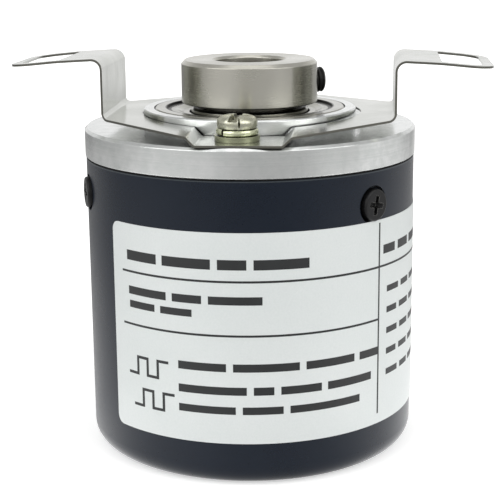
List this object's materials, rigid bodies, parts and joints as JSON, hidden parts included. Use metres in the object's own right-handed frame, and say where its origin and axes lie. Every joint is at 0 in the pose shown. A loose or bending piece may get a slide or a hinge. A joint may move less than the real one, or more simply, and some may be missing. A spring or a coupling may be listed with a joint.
{
  "type": "hollow shaft rotary encoder",
  "caption": "Small hollow-shaft rotary encoder: round black case, aluminium flange, clamping hub with a blind bore, and a bent spring plate with two slotted arms.",
  "frame": {"origin": "on the shaft axis, in the front face of the mounting flange that the spring plate is screwed to", "axes": "+Z along the shaft, out of the hub's mouth; +X along the arms of the spring plate; +Y towards the cable outlet"},
  "size_m": [0.0538, 0.0435, 0.0451],
  "materials": {
    "brushed_aluminium": "turned and brushed, clear",
    "turned_aluminium": "turned",
    "black_paint": "satin black paint",
    "blackened_steel": "black oxide, oiled",
    "nitrile_rubber": "moulded",
    "label_film": null,
    "spring_sheet": "bright rolled stainless sheet",
    "yellow_zinc": "zinc plated, yellow passivated",
    "bearing_steel": "ground",
    "polished_balls": "polished",
    "shield_sheet": "pressed sheet",
    "cage_nylon": "moulded nylon",
    "turned_stainless": "turned",
    "etched_nickel": "etched",
    "black_moulding": "moulded, fine grain",
    "pale_moulding": "moulded nylon",
    "lamp_resin": "clear cast resin, tinted",
    "mask_glass": "polished, chrome reticle",
    "chip_epoxy": "moulded epoxy",
    "board_laminate": "glass epoxy with green mask",
    "capacitor_ceramic": "sintered",
    "turned_brass": "turned",
    "nickel_plate": "nickel plated brass"
  },
  "bodies": {
    "housing": {"mounting_flange": "brushed_aluminium", "cover": "black_paint", "cover_screws": "blackened_steel", "cover_seal": "nitrile_rubber", "label": "label_film", "spring_plate": "spring_sheet", "plate_screws": "yellow_zinc", "lock_washers": "yellow_zinc", "flat_washers": "yellow_zinc", "upper_outer_ring": "bearing_steel", "upper_shields": "shield_sheet", "lower_outer_ring": "bearing_steel", "lower_shields": "shield_sheet", "retaining_ring": "blackened_steel", "lamp_holder": "black_moulding", "lamp": "lamp_resin", "lamp_screws": "blackened_steel", "scanning_mask": "mask_glass", "detector": "chip_epoxy", "circuit_board": "board_laminate", "board_pillars": "turned_brass", "board_screws": "blackened_steel", "signal_chip": "chip_epoxy", "driver_chip": "chip_epoxy", "chip_capacitors": "capacitor_ceramic", "cable_header": "pale_moulding", "header_pins": "turned_brass", "cable_bushing": "nickel_plate", "bushing_gasket": "nitrile_rubber", "bushing_nut": "nickel_plate"},
    "rotor": {"hollow_shaft": "turned_stainless", "upper_inner_ring": "bearing_steel", "lower_inner_ring": "bearing_steel", "inner_spacer": "turned_stainless", "shaft_circlip": "blackened_steel", "disc_hub": "turned_aluminium", "code_disc": "etched_nickel", "clamp_ring": "turned_aluminium", "clamp_screws": "blackened_steel"},
    "upper_ball_set": {"upper_cage": "cage_nylon", "upper_balls": "polished_balls"},
    "lower_ball_set": {"lower_cage": "cage_nylon", "lower_balls": "polished_balls"},
    "side_screw": {"set_screw_side": "blackened_steel"},
    "rear_screw": {"set_screw_rear": "blackened_steel"}
  },
  "joints": [
    {"name": "shaft_spin", "type": "hinge", "parent": "housing", "child": "rotor", "pos_m": [0, 0, 0], "axis": [0, 0, 1], "continuous": true},
    {"name": "upper_balls_spin", "type": "hinge", "parent": "housing", "child": "upper_ball_set", "pos_m": [0, 0, 0], "axis": [0, 0, 1], "continuous": true},
    {"name": "lower_balls_spin", "type": "hinge", "parent": "housing", "child": "lower_ball_set", "pos_m": [0, 0, 0], "axis": [0, 0, 1], "continuous": true},
    {"name": "side_screw_travel", "type": "slide", "parent": "rotor", "child": "side_screw", "axis": [0.9272, 0.3746, 0], "range_m": [-0.00085, 0.0015]},
    {"name": "rear_screw_travel", "type": "slide", "parent": "rotor", "child": "rear_screw", "axis": [-0.3746, 0.9272, 0], "range_m": [-0.00085, 0.0015]}
  ],
  "couplings": [
    {"joint": "upper_balls_spin", "follows": "shaft_spin", "ratio": 0.40078},
    {"joint": "lower_balls_spin", "follows": "shaft_spin", "ratio": 0.40078}
  ]
}
